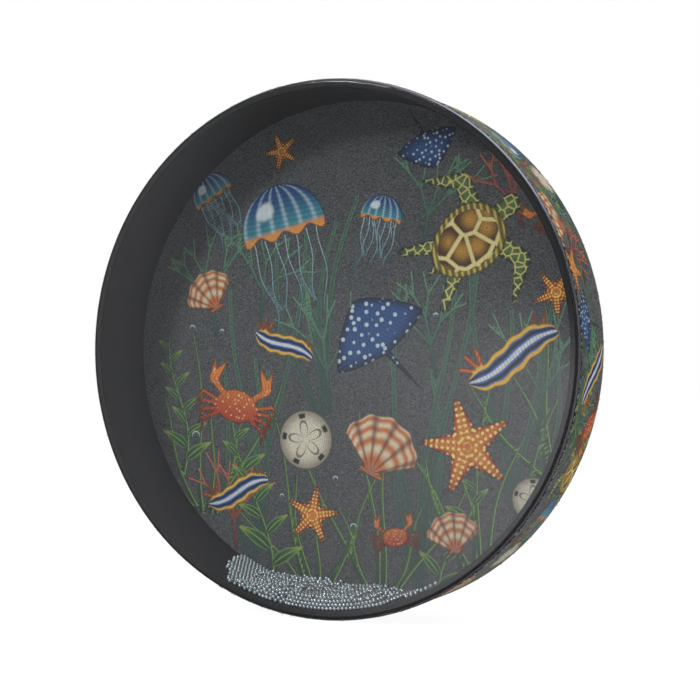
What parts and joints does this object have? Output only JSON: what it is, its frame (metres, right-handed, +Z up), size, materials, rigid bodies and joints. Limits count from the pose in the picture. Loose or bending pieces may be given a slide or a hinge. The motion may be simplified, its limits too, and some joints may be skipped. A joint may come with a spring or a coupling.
{
  "type": "ocean drum",
  "caption": "Shallow round drum with a clear front head, a printed cloth rear head and wrap, and loose steel beads that run round inside the shell to make a surf sound.",
  "frame": {"origin": "centre of the drum, on its axis and midway between its two heads", "axes": "+Z up with the drum standing on its rim, Y along the drum's axis with the clear front head facing -Y, +X to the right as seen from the front"},
  "size_m": [0.4064, 0.0636, 0.4064],
  "materials": {
    "shell_board": "satin",
    "clear_film": "gloss",
    "printed_head": "matte",
    "printed_wrap": "matte",
    "bead_steel": "polished"
  },
  "bodies": {
    "drum": {"shell": "shell_board", "front_head": "clear_film", "rear_head": "printed_head", "shell_wrap": "printed_wrap"},
    "bead_drift_1": {"bead_row_01": "bead_steel", "bead_row_02": "bead_steel", "bead_row_03": "bead_steel", "bead_row_04": "bead_steel"},
    "bead_drift_2": {"bead_row_05": "bead_steel", "bead_row_06": "bead_steel", "bead_row_07": "bead_steel", "bead_row_08": "bead_steel"},
    "bead_drift_3": {"bead_row_09": "bead_steel", "bead_row_10": "bead_steel", "bead_row_11": "bead_steel", "bead_row_12": "bead_steel"},
    "bead_drift_4": {"bead_row_13": "bead_steel", "bead_row_14": "bead_steel", "bead_row_15": "bead_steel", "bead_row_16": "bead_steel"},
    "bead_drift_5": {"bead_row_17": "bead_steel", "bead_row_18": "bead_steel", "bead_row_19": "bead_steel", "bead_row_20": "bead_steel"}
  },
  "joints": [
    {"name": "drift_1_run", "type": "hinge", "parent": "drum", "child": "bead_drift_1", "pos_m": [0, 0, 0], "axis": [0, 1, 0], "continuous": true},
    {"name": "drift_2_run", "type": "hinge", "parent": "drum", "child": "bead_drift_2", "pos_m": [0, 0, 0], "axis": [0, 1, 0], "continuous": true},
    {"name": "drift_3_run", "type": "hinge", "parent": "drum", "child": "bead_drift_3", "pos_m": [0, 0, 0], "axis": [0, 1, 0], "continuous": true},
    {"name": "drift_4_run", "type": "hinge", "parent": "drum", "child": "bead_drift_4", "pos_m": [0, 0, 0], "axis": [0, 1, 0], "continuous": true},
    {"name": "drift_5_run", "type": "hinge", "parent": "drum", "child": "bead_drift_5", "pos_m": [0, 0, 0], "axis": [0, 1, 0], "continuous": true}
  ]
}
